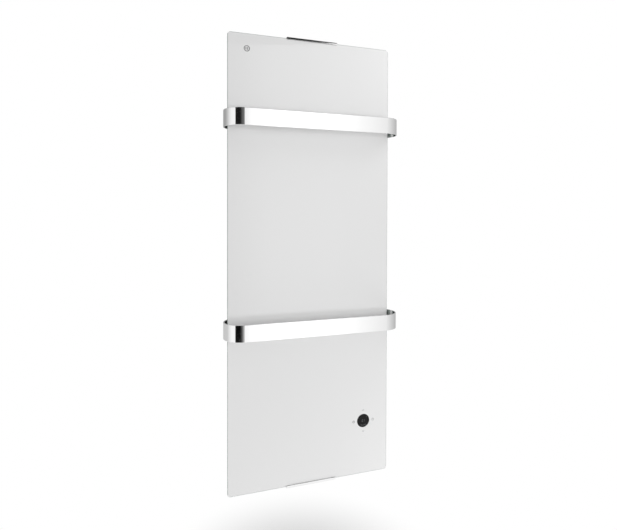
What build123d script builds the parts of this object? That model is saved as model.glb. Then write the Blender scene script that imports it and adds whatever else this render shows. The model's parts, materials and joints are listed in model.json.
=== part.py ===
from build123d import *
import os

# A wall-hung convector heater: a white glass front with two polished towel bars, a steel casing
# behind it, and a wall plate on whose hooks the heater hangs.
# Millimetres. X runs to the right seen from the front, Y into the wall, Z up.
# The origin is on the wall, at the middle of the wall plate's four screw slots.
# Heights named "above the glass foot" count from the bottom edge of the glass.

# Glass front
glass_width = 380.5
glass_height = 1000.0
glass_thickness = 4.0
glass_corner_radius = 6.5
glass_edge_bevel = 0.5
plate_below_glass_top = 300.0

# Depth, from the wall to the glass
wall_gap = 16.0
casing_depth = 52.0
bond_thickness = 3.0
bond_width = 24.0
bond_from_casing_side = 53.0
bond_foot = 180.0
bond_top_margin = 100.0

# Towel bars: a flat strip bent to a loop that is open behind the glass
bar_overhang = 10.75
bar_depth = 76.0
bar_height = 35.5
bar_thickness = 2.5
bar_edge_radius = 0.4
bar_reach = 52.2
upper_bar_below_top = 188.3
lower_bar_above_foot = 364.4
bar_return_end = 92.0
bar_screw_offsets = (104.0, 132.0)

# Casing and chassis
casing_side_inset = 30.25
casing_margin = 60.0
casing_sheet = 1.0
casing_radius = 5.0
chassis_flange = 12.0
sheet_clearance = 0.2
side_screw_count = 5
side_screw_margin = 40.0
side_screw_length = 8.0

# Air slots
slot_length = 22.0
slot_width = 4.5
slot_pitch_y = 11.0
slot_columns = 10
slot_side_margin = 27.5
end_slot_rows = 3
back_slot_rows = 4
back_slot_from_end = 70.0

# Glass clips
clip_width = 118.0
clip_sheet = 1.5
clip_bend_radius = 2.0
clip_overlap = 2.5
clip_on_chassis = 26.0
clip_screw_from_middle = 42.0
clip_screw_inset = 14.0
clip_screw_length = 6.5
liner_edge = 1.0
liner_front = 1.0
liner_back_length = 22.0

# Display and touch controls
lens_diameter = 31.0
lens_clearance = 0.2
display_from_glass_side = 61.0
display_above_foot = 124.0
touch_film_diameter = 64.0
touch_film_thickness = 0.6
display_housing_diameter = 40.0
display_housing_depth = 14.0
display_housing_wall = 2.0
display_rim = 2.0
display_board_thickness = 1.6
display_board_setback = 4.0
display_connector = (12.0, 6.0)

# Wall plate
wall_plate_width = 220.0
wall_plate_height = 72.0
wall_plate_sheet = 2.0
wall_plate_touch_gap = 0.3
wall_slot_spacing_x = 170.0
wall_slot_spacing_z = 40.0
wall_slot_width = 6.5
wall_slot_length = 13.0
hook_from_middle = 50.0
hook_width = 20.0
hook_thickness = 2.0
hook_lip = 9.0
hook_corner_radius = 3.5
hook_seat_clearance = 0.1
hook_back_clearance = 3.0
hook_side_clearance = 2.0
hook_lift_clearance = 2.0
lift_travel = 12.0
hanger_size = (44.0, 16.0)
hanger_thickness = 2.0
hanger_rivet_offset = 17.0
rivet_radius = 1.6
rivet_head_radius = 3.2
rivet_head_height = 1.1

# Wall bumpers
bumper_from_casing_side = 45.0
bumper_above_foot = 350.0
bumper_radius = 11.0
bumper_stem_radius = 3.0
bumper_stem_head = 4.5
bumper_head_thickness = 2.0
bumper_edge_radius = 1.5

# Towel bar rails, behind the ends of the bars
rail_sheet = 1.5
rail_height = 56.0
rail_lip = 8.0
rail_tab = 24.0
rail_screw_from_middle = 16.0
rail_screw_length = 6.0
rail_screw_share = 0.6
grommet_wall = 2.0
grommet_flange = 1.4

# Heating elements: a finned profile pressed on a rod
element_above_tray = 29.0
element_spacing = 65.0
element_from_casing_back = 25.0
profile_from_casing_side = 42.0
profile_hub_radius = 7.0
profile_arm_length = 24.0
profile_arm_thickness = 1.8
profile_arm_angle = 60.0
profile_rib_length = 9.0
profile_rib_thickness = 1.2
profile_rib_places = (13.0, 19.0)
rod_radius = 4.0
rod_fit = 0.05
rod_overhang = 20.0
bush_flange_radius = 8.0
bush_sleeve_radius = 5.0
bush_flange_length = 4.0
bush_sleeve_length = 5.0
tab_size = (10.0, 6.3, 0.8)
bracket_gap = 12.0
bracket_sheet = 1.0
bracket_margin = 19.0
bracket_front_overhang = 13.0
bracket_foot = 14.0
bracket_screw_inset = 16.0
bracket_screw_length = 6.0
shield_sheet = 0.5
shield_standoff = 7.0
shield_foot = 9.0
shield_leg_gap = 9.0
shield_margin = 20.0
cutout_radius = 8.0
cutout_length = 8.0
cutout_tab_offset = 5.0
cutout_tab_length = 6.0

# Leads inside the casing
lead_radius = 1.2
lead_bend = 2.9
lead_side_clearance = 5.0
lead_rise = 6.0
lead_entry_inset = 10.0
lead_side_step = 8.0

# Room sensor
sensor_radius = 2.5
sensor_length = 24.0
sensor_x = -4.0
sensor_above_foot = 100.0
sensor_from_casing_back = 19.0
sensor_holder_size = (8.0, 12.0)
sensor_holder_top = 6.0

# Control box
tray_from_casing_side = 22.0
tray_width = 92.0
tray_above_foot = 78.0
tray_height = 128.0
tray_depth = 33.0
tray_wall = 2.0
tray_radius = 4.0
tray_entry_clearance = 1.0
lid_thickness = 2.0
post_radius = 3.5
post_height = 5.0
post_inset = 9.0
board_clearance = 2.0
board_thickness = 1.6
board_screw_grip = 2.0
tray_screw_grip = 2.8
relay_size = (19.0, 15.0, 16.0)
transformer_size = (32.0, 20.0, 27.0)
terminal_size = (40.0, 14.0, 14.0)
terminal_ways = 4
relay_share = (0.30, 0.74)
transformer_share = (0.62, 0.46)
capacitor_share = (0.70, 0.78)
terminal_share = (0.50, 0.16)
terminal_mouth = (0.6, 0.45, 0.5)
terminal_screw_share = 0.28
terminal_screw_depth = 4.0
component_edge_radius = 0.8
capacitor_radius = 5.0
capacitor_height = 16.0

# Mains switch on the right-hand side of the casing
switch_above_foot = 165.0
switch_from_casing_back = 24.0
switch_bezel = (15.0, 21.0)
switch_bezel_thickness = 2.0
switch_bezel_radius = 0.6
switch_body = (12.6, 18.6)
switch_body_depth = 14.0
switch_cutout_clearance = 0.2
rocker_radius = 8.6
rocker_width = 10.0
rocker_clearance = 0.3
rocker_tilt = 9.0
rocker_crest = 2.2
rocker_underside = 2.0
rocker_hinge_inset = 1.5
rocker_floor = 5.0
pivot_radius = 1.2
pivot_fit = 0.05
pivot_length = 1.0
switch_blade = (6.0, 4.8, 0.8)
switch_blade_offset = 5.0

# Cable gland in the bottom of the casing
gland_from_casing_back = 19.0
gland_bore_radius = 4.0
gland_thread_radius = 8.0
gland_thread_inside = 10.0
gland_collar_radius = 11.0
gland_collar_height = 4.0
gland_lower_thread_radius = 7.2
gland_lower_thread = 12.0
gland_dome_length = 20.0
gland_dome_radius = 5.0
gland_nut_flats = 22.0
gland_nut_height = 5.0
thread_fit = 0.1

# Screws
small_screw = {"head": 2.8, "head_height": 1.8, "shank": 1.5}
clip_screw = {"head": 4.2, "head_height": 1.2, "shank": 1.9}
sheet_screw = {"head": 3.5, "head_height": 2.2, "shank": 1.9}
bar_screw = {"head": 4.6, "head_height": 2.8, "shank": 2.4}
bar_nut_flats = 8.0
bar_nut_height = 4.0

# Planes that the pieces share
casing_back = -wall_gap
casing_inner_back = casing_back - casing_sheet
chassis_front = casing_back - casing_depth
chassis_back = chassis_front + casing_sheet
glass_back = chassis_front - bond_thickness
glass_front = glass_back - glass_thickness
glass_top = plate_below_glass_top
glass_foot = glass_top - glass_height
lift_spare = lift_travel - hook_lip
casing_foot = glass_foot + casing_margin
casing_top = glass_top - casing_margin
casing_width = glass_width - 2 * casing_side_inset
casing_half = casing_width / 2
casing_inner_half = casing_half - casing_sheet
bar_front = glass_front - bar_reach
bar_back = bar_front + bar_depth
bar_return_front = bar_back - bar_thickness
bar_heights = {"upper": glass_top - upper_bar_below_top, "lower": glass_foot + lower_bar_above_foot}
bar_length = glass_width + 2 * bar_overhang
display_x = glass_width / 2 - display_from_glass_side
display_z = glass_foot + display_above_foot
element_y = casing_back - element_from_casing_back
profile_half_length = casing_half - profile_from_casing_side
bracket_inner = profile_half_length + bracket_gap
tray_right = casing_half - tray_from_casing_side
tray_left = tray_right - tray_width
gland_x = (tray_left + tray_right) / 2
tray_foot = glass_foot + tray_above_foot
tray_top = tray_foot + tray_height
lower_element_height = tray_above_foot + tray_height + element_above_tray
element_heights = {"lower": lower_element_height,
                   "upper": lower_element_height + element_spacing}
tray_front = casing_inner_back - tray_depth
lens_back = glass_back + touch_film_thickness


def block(low, high):
    """A box between its lowest and its highest corner."""
    size = [b - a for a, b in zip(low, high)]
    middle = [(a + b) / 2 for a, b in zip(low, high)]
    return Pos(*middle) * Box(*size)


def along_x(outline, start, end):
    """An outline drawn as (Y, Z), pushed along X."""
    return extrude(Plane((start, 0, 0), x_dir=(0, 1, 0), z_dir=(1, 0, 0)) * outline, end - start)


def along_y(outline, start, end):
    """An outline drawn as (X, Z), pushed along Y from start, the nearer to the room, to end."""
    return extrude(Plane((0, end, 0), x_dir=(1, 0, 0), z_dir=(0, -1, 0)) * outline, end - start)


def along_z(outline, start, end):
    """An outline drawn as (X, Y), pushed along Z."""
    return extrude(Pos(0, 0, start) * outline, end - start)


def disc(radius, x, y):
    return Pos(x, y) * Circle(radius)


def screw(kind, length):
    """A pan-head screw: its head stands on the XY plane and its shank points down."""
    head = Pos(0, 0, kind["head_height"] / 2) * Cylinder(kind["head"], kind["head_height"])
    head = fillet(head.edges().sort_by(Axis.Z)[-1], kind["head_height"] * 0.4)
    arm = kind["head"] * 1.1
    recess = Box(arm, arm * 0.22, kind["head_height"]) + Box(arm * 0.22, arm, kind["head_height"])
    head -= Pos(0, 0, kind["head_height"]) * recess
    return head + Pos(0, 0, -length / 2) * Cylinder(kind["shank"], length)


def rivet(grip):
    """A round-head rivet: its head stands on the XY plane and its shank points down."""
    head = Pos(0, 0, rivet_head_height / 2) * Cylinder(rivet_head_radius, rivet_head_height)
    head = fillet(head.edges().sort_by(Axis.Z)[-1], rivet_head_height * 0.8)
    return head + Pos(0, 0, -grip / 2) * Cylinder(rivet_radius, grip)


def placed(piece, places, outwards):
    """Copies of a screw or rivet, their heads pointing outwards."""
    return [Plane(origin=place, z_dir=outwards) * piece for place in places]


def holes_y(places, radius, start, end):
    """Round cutters along Y through a list of places."""
    return [along_y(disc(radius, x, z), start, end) for x, y, z in places]


def holes_x(places, radius, start, end):
    """Round cutters along X through a list of places."""
    return [along_x(disc(radius, y, z), start, end) for x, y, z in places]


def both_sides(offset):
    return (-offset, offset)


def clip_screw_places():
    edges = ((casing_top, -1), (casing_foot, 1))
    return [(x, chassis_front - clip_sheet, z + inwards * clip_screw_inset)
            for z, inwards in edges for x in both_sides(clip_screw_from_middle)]


def side_screw_places(side):
    y = chassis_back + chassis_flange / 2
    first = casing_foot + side_screw_margin
    step = (casing_top - casing_foot - 2 * side_screw_margin) / (side_screw_count - 1)
    return [(side * casing_half, y, first + step * i) for i in range(side_screw_count)]


def rail_screw_places(side):
    y = bar_back + rail_tab * rail_screw_share
    return [(side * casing_half, y, z + offset)
            for z in bar_heights.values() for offset in both_sides(rail_screw_from_middle)]


def bar_screw_places(z):
    return [(side * x, bar_return_front, z) for side in (-1, 1) for x in bar_screw_offsets]


def bracket_z_range():
    heights = [glass_foot + z for z in element_heights.values()]
    return min(heights) - bracket_margin, max(heights) + bracket_margin


def bracket_screw_places():
    low, high = bracket_z_range()
    x = bracket_inner + bracket_sheet + bracket_foot / 2
    return [(side * x, casing_back, z) for side in (-1, 1)
            for z in (low + bracket_screw_inset, high - bracket_screw_inset)]


def shield_rivet_places():
    low, high = bracket_z_range()
    x = profile_half_length - shield_leg_gap + shield_sheet + shield_foot / 2
    return [(side * x, casing_back, z) for side in (-1, 1)
            for z in (low + shield_margin, high - shield_margin)]


def hanger_rivet_places():
    z = hook_top() + hook_seat_clearance + hanger_size[1] / 2
    return [(side * hook_from_middle + x, casing_back, z)
            for side in (-1, 1) for x in both_sides(hanger_rivet_offset)]


def post_places():
    xs = (tray_left + post_inset, tray_right - post_inset)
    zs = (tray_foot + post_inset, tray_top - post_inset)
    return [(x, casing_back, z) for x in xs for z in zs]


def bumper_places():
    return [(x, casing_back, glass_foot + bumper_above_foot) for x in both_sides(casing_half - bumper_from_casing_side)]


def hook_top():
    """The seat that the heater hangs on: the hooks' arms are centred on the wall plate."""
    return hook_thickness / 2


# Glass front
def glass_panel():
    outline = Pos(0, (glass_foot + glass_top) / 2)
    outline *= RectangleRounded(glass_width, glass_height, glass_corner_radius)
    outline -= disc(lens_diameter / 2 + lens_clearance, display_x, display_z)
    panel = along_y(outline, glass_front, glass_back)
    rims = [face.outer_wire().edges() for face in panel.faces().filter_by(Axis.Y)]
    return chamfer(rims[0] + rims[1], glass_edge_bevel)


def glass_bond_strips():
    strips = []
    for side in (-1, 1):
        x = side * (casing_half - bond_from_casing_side - bond_width / 2)
        strips.append(block((x - bond_width / 2, glass_back, glass_foot + bond_foot),
                            (x + bond_width / 2, chassis_front, glass_top - bond_top_margin)))
    return strips


def top_clip():
    """A strip bent over the edge of the glass, with a lip in front and a leg down to the chassis."""
    half = clip_width / 2
    leg_front = chassis_front - clip_sheet
    lip_back = glass_front - liner_front
    lip_front = lip_back - clip_sheet
    under = glass_top + liner_edge
    top = under + clip_sheet
    clip = block((-half, leg_front, casing_top - clip_on_chassis), (half, chassis_front, top))
    clip += block((-half, lip_front, under), (half, chassis_front, top))
    clip += block((-half, lip_front, glass_top - clip_overlap), (half, lip_back, top))
    bends = clip.edges().filter_by(Axis.X).group_by(Axis.Z)[-1]
    clip = fillet(bends, clip_bend_radius)
    holes = [place for place in clip_screw_places() if place[2] > 0]
    return clip - holes_y(holes, clip_screw["shank"] + thread_fit, leg_front, chassis_front)


def top_liner():
    """A rubber channel between the clip and the edge of the glass."""
    half = clip_width / 2
    front = glass_front - liner_front
    back = chassis_front - clip_sheet
    liner = block((-half, front, glass_top), (half, back, glass_top + liner_edge))
    liner += block((-half, front, glass_top - clip_overlap), (half, glass_front, glass_top))
    return liner + block((-half, glass_back, glass_top - liner_back_length), (half, back, glass_top))


def flipped(piece):
    """The same piece at the other end of the glass."""
    return mirror(piece, Plane.XY.offset((glass_foot + glass_top) / 2))


def clip_screws():
    return placed(screw(clip_screw, clip_screw_length), clip_screw_places(), (0, -1, 0))


# Display and touch controls
def display_lens():
    outline = disc(lens_diameter / 2, display_x, display_z)
    lens = along_y(outline, glass_front, lens_back)
    return fillet(lens.edges().sort_by(Axis.Y)[0], glass_edge_bevel)


def touch_film():
    ring = disc(touch_film_diameter / 2, display_x, display_z)
    ring -= disc(lens_diameter / 2 + lens_clearance, display_x, display_z)
    return along_y(ring, glass_back, lens_back)


def display_housing():
    """A round cup whose rim presses the lens and the film against the glass."""
    radius = display_housing_diameter / 2
    back = lens_back + display_housing_depth
    cup = along_y(disc(radius, display_x, display_z), lens_back, back)
    inner = radius - display_housing_wall
    cup -= along_y(disc(inner, display_x, display_z), lens_back + display_rim,
                   back - display_housing_wall)
    mouth = lens_diameter / 2 - display_rim
    return cup - along_y(disc(mouth, display_x, display_z), lens_back, lens_back + display_rim)


def display_board():
    radius = display_housing_diameter / 2 - display_housing_wall
    front = lens_back + display_rim + display_board_setback
    return along_y(disc(radius, display_x, display_z), front, front + display_board_thickness)


def display_plug():
    """The plug that joins the display to the control box behind it."""
    width, height = display_connector
    start = lens_back + display_housing_depth
    outline = Pos(display_x - width / 2, display_z) * Rectangle(width, height)
    return along_y(outline, start, tray_front - lid_thickness)


# Casing
def bar_slot(side, z, margin):
    """The space of a bar's end where it passes the side of the casing."""
    half = bar_height / 2 + margin
    low = (casing_half - chassis_flange, bar_return_front - margin, z - half)
    high = (casing_half + chassis_flange, bar_back + margin, z + half)
    if side > 0:
        return block(low, high)
    return block((-high[0], low[1], low[2]), (-low[0], high[1], high[2]))


def air_slots(rows):
    """Rows of rounded slots, centred on the origin of the sketch."""
    pitch_x = (casing_width - 2 * slot_side_margin - slot_length) / (slot_columns - 1)
    return Sketch() + [loc * SlotOverall(slot_length, slot_width)
                       for loc in GridLocations(pitch_x, slot_pitch_y, slot_columns, rows)]


def side_cutters(screw_radius):
    """What is cut through both the casing's sides and the chassis flanges inside them."""
    cutters = []
    for side in (-1, 1):
        inner = side * (casing_half - chassis_flange)
        start, end = sorted((inner, side * (casing_half + 1)))
        cutters += holes_x(side_screw_places(side), screw_radius, start, end)
        cutters += holes_x(rail_screw_places(side), screw_radius, start, end)
        cutters += [bar_slot(side, z, grommet_wall) for z in bar_heights.values()]
    return cutters


def rear_casing():
    """A pressed steel tray, open to the front, with air slots in its ends and its back."""
    low = (-casing_half, chassis_back, casing_foot)
    high = (casing_half, casing_back, casing_top)
    shell = rounded_tray(low, high, casing_radius)
    inner_low = (-casing_inner_half, chassis_back - 1, casing_foot + casing_sheet)
    inner_high = (casing_inner_half, casing_inner_back, casing_top - casing_sheet)
    shell -= rounded_tray(inner_low, inner_high, casing_radius - casing_sheet)
    shell -= side_cutters(sheet_screw["shank"] + thread_fit)

    middle_y = (chassis_back + chassis_flange + casing_inner_back) / 2
    for z in (casing_foot, casing_top - casing_sheet):
        slots = Pos(0, middle_y) * air_slots(end_slot_rows)
        if z == casing_foot:
            slots -= disc(gland_collar_radius + slot_width, gland_x, gland_y())
        shell -= along_z(slots, z, z + casing_sheet)
    back_slots = Pos(0, casing_top - back_slot_from_end) * air_slots(back_slot_rows)
    shell -= along_y(back_slots, casing_inner_back, casing_back)

    back_holes = bracket_screw_places() + post_places()
    shell -= holes_y(back_holes, sheet_screw["shank"] + thread_fit, casing_inner_back, casing_back)
    rivets = shield_rivet_places() + hanger_rivet_places()
    shell -= holes_y(rivets, rivet_radius + thread_fit, casing_inner_back, casing_back)
    shell -= holes_y(bumper_places(), bumper_stem_radius, casing_inner_back, casing_back)
    shell -= [hook_window(side) for side in (-1, 1)]
    shell -= switch_cutout()
    gland_hole = disc(gland_thread_radius + thread_fit, gland_x, gland_y())
    return shell - along_z(gland_hole, casing_foot, casing_foot + casing_sheet)


def rounded_tray(low, high, radius):
    """A solid block with round corners and a rounded rear edge."""
    body = block(low, high)
    body = fillet(body.edges().filter_by(Axis.Y), radius)
    return fillet(body.faces().sort_by(Axis.Y)[-1].edges(), radius * 0.9)


def hook_window(side):
    """The opening in the casing's back that a hook reaches through."""
    half = hook_width / 2 + hook_side_clearance
    top = hook_top() + hook_seat_clearance
    foot = top - hook_lip - hook_thickness - hook_lift_clearance - lift_spare
    x = side * hook_from_middle
    return block((x - half, casing_inner_back, foot), (x + half, casing_back, top))


def front_chassis():
    """The steel plate behind the glass, with a flange all round inside the casing's edge."""
    middle = (casing_foot + casing_top) / 2
    height = casing_top - casing_foot
    plate = Pos(0, middle) * RectangleRounded(casing_width, height, casing_radius)
    chassis = along_y(plate, chassis_front, chassis_back)
    lap = casing_sheet + sheet_clearance
    outer = Pos(0, middle) * RectangleRounded(casing_width - 2 * lap, height - 2 * lap,
                                              casing_radius - casing_sheet)
    lap += casing_sheet
    inner = Pos(0, middle) * RectangleRounded(casing_width - 2 * lap, height - 2 * lap,
                                              casing_radius - 2 * casing_sheet)
    chassis += along_y(outer - inner, chassis_back, chassis_back + chassis_flange)
    chassis -= side_cutters(sheet_screw["shank"] + thread_fit)
    hole = disc(display_housing_diameter / 2 + sheet_clearance, display_x, display_z)
    chassis -= along_y(hole, chassis_front, chassis_back)
    return chassis - holes_y(clip_screw_places(), clip_screw["shank"] + thread_fit,
                             chassis_front, chassis_back)


def casing_screws():
    screws = []
    for side in (-1, 1):
        screws += placed(screw(sheet_screw, side_screw_length), side_screw_places(side), (side, 0, 0))
    return screws


def hanger_plates():
    """Doublers inside the casing's back that carry the weight on the hooks."""
    width, height = hanger_size
    foot = hook_top() + hook_seat_clearance
    plates = []
    for side in (-1, 1):
        x = side * hook_from_middle
        plates.append(block((x - width / 2, casing_inner_back - hanger_thickness, foot),
                            (x + width / 2, casing_inner_back, foot + height)))
    cutters = holes_y(hanger_rivet_places(), rivet_radius + thread_fit,
                      casing_inner_back - hanger_thickness, casing_inner_back)
    return [plate - cutters for plate in plates]


def wall_bumpers():
    """Rubber feet that keep the heater upright against the wall, each with a push-in stem."""
    bumpers = []
    for x, y, z in bumper_places():
        foot = along_y(disc(bumper_radius, x, z), casing_back, 0)
        foot = fillet(foot.edges().sort_by(Axis.Y)[-1], bumper_edge_radius)
        stem = along_y(disc(bumper_stem_radius, x, z), casing_inner_back, casing_back)
        head = along_y(disc(bumper_stem_head, x, z),
                       casing_inner_back - bumper_head_thickness, casing_inner_back)
        bumpers.append(foot + stem + head)
    return bumpers


# Wall plate
def wall_plate():
    """A steel channel with two hooks that stand forward and turn up."""
    half = wall_plate_width / 2
    rise = wall_plate_height / 2
    flange_front = casing_back + wall_plate_touch_gap
    plate = block((-half, -wall_plate_sheet, -rise), (half, 0, rise))
    for z in both_sides(rise - wall_plate_sheet / 2):
        plate += block((-half, flange_front, z - wall_plate_sheet / 2),
                       (half, 0, z + wall_plate_sheet / 2))
    bends = plate.edges().filter_by(Axis.X).group_by(Axis.Y)[-1]
    plate = fillet(bends, wall_plate_sheet * 0.8)
    slots = [loc * SlotOverall(wall_slot_length, wall_slot_width)
             for loc in GridLocations(wall_slot_spacing_x, wall_slot_spacing_z, 2, 2)]
    plate -= along_y(Sketch() + slots, -wall_plate_sheet, 0)
    lip_back = casing_inner_back - hook_back_clearance
    lip_front = lip_back - hook_thickness
    for side in (-1, 1):
        x = side * hook_from_middle
        arm = block((x - hook_width / 2, lip_front, -hook_thickness / 2),
                    (x + hook_width / 2, -wall_plate_sheet, hook_thickness / 2))
        lip = block((x - hook_width / 2, lip_front, -hook_thickness / 2),
                    (x + hook_width / 2, lip_back, hook_thickness / 2 + hook_lip))
        lip = fillet(lip.edges().filter_by(Axis.Y).group_by(Axis.Z)[-1], hook_corner_radius)
        plate += arm + lip
    return plate


# Towel bars
def towel_bar(z):
    """A flat strip bent to a loop with half-round ends, open behind the glass."""
    loop = SlotOverall(bar_length, bar_depth)
    loop -= SlotOverall(bar_length - 2 * bar_thickness, bar_depth - 2 * bar_thickness)
    loop -= Pos(0, bar_depth / 2) * Rectangle(2 * bar_return_end, 4 * bar_thickness)
    middle = (bar_front + bar_back) / 2
    bar = along_z(Pos(0, middle) * loop, z - bar_height / 2, z + bar_height / 2)
    rims = bar.edges().group_by(Axis.Z)
    bar = fillet(rims[0] + rims[-1], bar_edge_radius)
    return bar - holes_y(bar_screw_places(z), bar_screw["shank"] + thread_fit,
                         bar_return_front, bar_back)


def bar_rail(z):
    """A shallow channel across the casing that the bar's ends are screwed to."""
    half = casing_inner_half - sheet_clearance
    rise = rail_height / 2
    web_back = bar_back + rail_sheet
    rail = block((-half, bar_back, z - rise), (half, web_back, z + rise))
    for edge in (z - rise, z + rise - rail_sheet):
        rail += block((-half, bar_back, edge), (half, bar_back + rail_lip, edge + rail_sheet))
    for start in (-half, half - rail_sheet):
        rail += block((start, bar_back, z - rise), (start + rail_sheet, bar_back + rail_tab, z + rise))
    rail -= holes_y(bar_screw_places(z), bar_screw["shank"] + thread_fit, bar_back, web_back)
    for side in (-1, 1):
        start, end = sorted((side * (half - rail_sheet), side * half))
        rail -= holes_x(rail_screw_places(side), sheet_screw["shank"] + thread_fit, start, end)
    return rail


def all_bar_screw_places():
    return [place for z in bar_heights.values() for place in bar_screw_places(z)]


def bar_screws():
    length = bar_thickness + rail_sheet + bar_nut_height
    return placed(screw(bar_screw, length), all_bar_screw_places(), (0, -1, 0))


def bar_nuts():
    front = bar_back + rail_sheet
    nuts = []
    for x, y, z in all_bar_screw_places():
        outline = Pos(x, z) * RegularPolygon(bar_nut_flats / 2, 6, major_radius=False)
        outline -= disc(bar_screw["shank"] + thread_fit, x, z)
        nuts.append(along_y(outline, front, front + bar_nut_height))
    return nuts


def rail_screws():
    screws = []
    for side in (-1, 1):
        screws += placed(screw(sheet_screw, rail_screw_length), rail_screw_places(side), (side, 0, 0))
    return screws


def bar_grommets():
    """Rubber frames round the bar's ends in the sides of the casing."""
    grommets = []
    for z in bar_heights.values():
        middle = (bar_return_front + bar_back) / 2
        inner = Pos(middle, z) * Rectangle(bar_thickness, bar_height)
        neck = Pos(middle, z) * Rectangle(bar_thickness + 2 * grommet_wall,
                                          bar_height + 2 * grommet_wall)
        rim = Pos(middle, z) * Rectangle(bar_thickness + 4 * grommet_wall,
                                         bar_height + 4 * grommet_wall)
        outer = casing_half + grommet_flange
        grommet = along_x(neck - inner, casing_inner_half, casing_half)
        grommet += along_x(rim - inner, casing_half, outer)
        grommets += [grommet, mirror(grommet, Plane.YZ)]
    return grommets


# Heating elements
def heating_profile(height):
    """An extruded profile with four finned arms round a hub."""
    outline = Sketch() + Circle(profile_hub_radius)
    for angle in (profile_arm_angle, 180 - profile_arm_angle):
        arm = Rectangle(2 * profile_arm_length, profile_arm_thickness)
        for place in profile_rib_places:
            for x in both_sides(place):
                arm += Pos(x, 0) * Rectangle(profile_rib_thickness, profile_rib_length)
        outline += Rot(0, 0, angle) * arm
    outline -= Circle(rod_radius + rod_fit)
    middle = Pos(element_y, glass_foot + height)
    return along_x(middle * outline, -profile_half_length, profile_half_length)


def heating_rod(height):
    end = profile_half_length + rod_overhang
    return along_x(disc(rod_radius, element_y, glass_foot + height), -end, end)


def element_bushes():
    """Ceramic bushes that carry the rods in the brackets."""
    bushes = []
    for height in element_heights.values():
        place = (element_y, glass_foot + height)
        bore = disc(rod_radius + rod_fit, *place)
        flange = disc(bush_flange_radius, *place) - bore
        sleeve = disc(bush_sleeve_radius, *place) - bore
        bush = along_x(flange, bracket_inner - bush_flange_length, bracket_inner)
        bush += along_x(sleeve, bracket_inner, bracket_inner + bush_sleeve_length)
        bushes += [bush, mirror(bush, Plane.YZ)]
    return bushes


def element_tabs():
    """Flat tabs welded to the ends of the rods."""
    length, width, thickness = tab_size
    start = profile_half_length + rod_overhang
    tabs = []
    for height in element_heights.values():
        outline = Pos(element_y, glass_foot + height) * Rectangle(thickness, width)
        tab = along_x(outline, start, start + length)
        tabs += [tab, mirror(tab, Plane.YZ)]
    return tabs


def element_bracket(side):
    """An angle that stands on the casing's back and holds both rods."""
    low, high = bracket_z_range()
    front = element_y - bracket_front_overhang
    plate = block((bracket_inner, front, low), (bracket_inner + bracket_sheet, casing_inner_back, high))
    plate += block((bracket_inner, casing_inner_back - bracket_sheet, low),
                   (bracket_inner + bracket_sheet + bracket_foot, casing_inner_back, high))
    for height in element_heights.values():
        hole = disc(bush_sleeve_radius + rod_fit, element_y, glass_foot + height)
        plate -= along_x(hole, bracket_inner, bracket_inner + bracket_sheet)
    right_holes = [place for place in bracket_screw_places() if place[0] > 0]
    plate -= holes_y(right_holes, sheet_screw["shank"] + thread_fit,
                     casing_inner_back - bracket_sheet, casing_inner_back)
    return plate if side > 0 else mirror(plate, Plane.YZ)


def heat_shield():
    """A bright sheet on two legs between the elements and the casing's back."""
    low, high = bracket_z_range()
    face = casing_inner_back - shield_standoff
    leg = profile_half_length - shield_leg_gap
    shield = block((-leg - shield_sheet, face, low), (leg + shield_sheet, face + shield_sheet, high))
    for side in (-1, 1):
        start, end = sorted((side * leg, side * (leg + shield_sheet)))
        shield += block((start, face, low), (end, casing_inner_back, high))
        start, end = sorted((side * leg, side * (leg + shield_sheet + shield_foot)))
        shield += block((start, casing_inner_back - shield_sheet, low), (end, casing_inner_back, high))
    return shield - holes_y(shield_rivet_places(), rivet_radius + thread_fit,
                            casing_inner_back - shield_sheet, casing_inner_back)


def cutout_z():
    heights = element_heights.values()
    return glass_foot + sum(heights) / len(heights)


def thermal_cutout():
    """A bimetal disc switch on the outside of the left bracket."""
    start = bracket_inner + bracket_sheet
    end = start + cutout_length
    body = along_x(disc(cutout_radius, element_y, cutout_z()), start, end)
    length, width, thickness = tab_size
    for offset in both_sides(cutout_tab_offset):
        blade = Pos(element_y, cutout_z() + offset) * Rectangle(width, thickness)
        body += along_x(blade, end, end + cutout_tab_length)
    return mirror(body, Plane.YZ)


def lead(points):
    """A round lead along straight runs joined by arcs."""
    path = FilletPolyline(*points, radius=lead_bend)
    start = Plane(origin=points[0], z_dir=path % 0)
    return sweep(start * Circle(lead_radius), path=path)


def element_leads():
    """Leads from the control box to the elements, and from one element to the other."""
    tab_end = profile_half_length + rod_overhang + tab_size[0]
    turn = casing_inner_half - lead_side_clearance
    low, high = [glass_foot + z for z in element_heights.values()]
    z = tray_top + lead_rise
    x = tray_right - lead_entry_inset
    near = (x, element_y, tray_top)
    leads = [lead([near, (x, element_y, z), (turn, element_y, z), (turn, element_y, low),
                   (tab_end, element_y, low)])]
    x -= lead_entry_inset
    y = element_y - lead_side_step
    leads.append(lead([(x, y, tray_top), (x, y, z), (turn, y, z), (turn, y, high),
                       (turn, element_y, high), (tab_end, element_y, high)]))
    cutout_end = bracket_inner + bracket_sheet + cutout_length + cutout_tab_length
    for goal, offset in ((low, -cutout_tab_offset), (high, cutout_tab_offset)):
        z = cutout_z() + offset
        leads.append(lead([(-tab_end, element_y, goal), (-turn, element_y, goal),
                           (-turn, element_y, z), (-cutout_end, element_y, z)]))
    start = sensor_x + sensor_length / 2
    z = glass_foot + sensor_above_foot
    straight = along_x(disc(lead_radius, sensor_y(), z), start, tray_left)
    return leads + [straight]


# Room sensor
def sensor_y():
    return casing_back - sensor_from_casing_back


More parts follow.
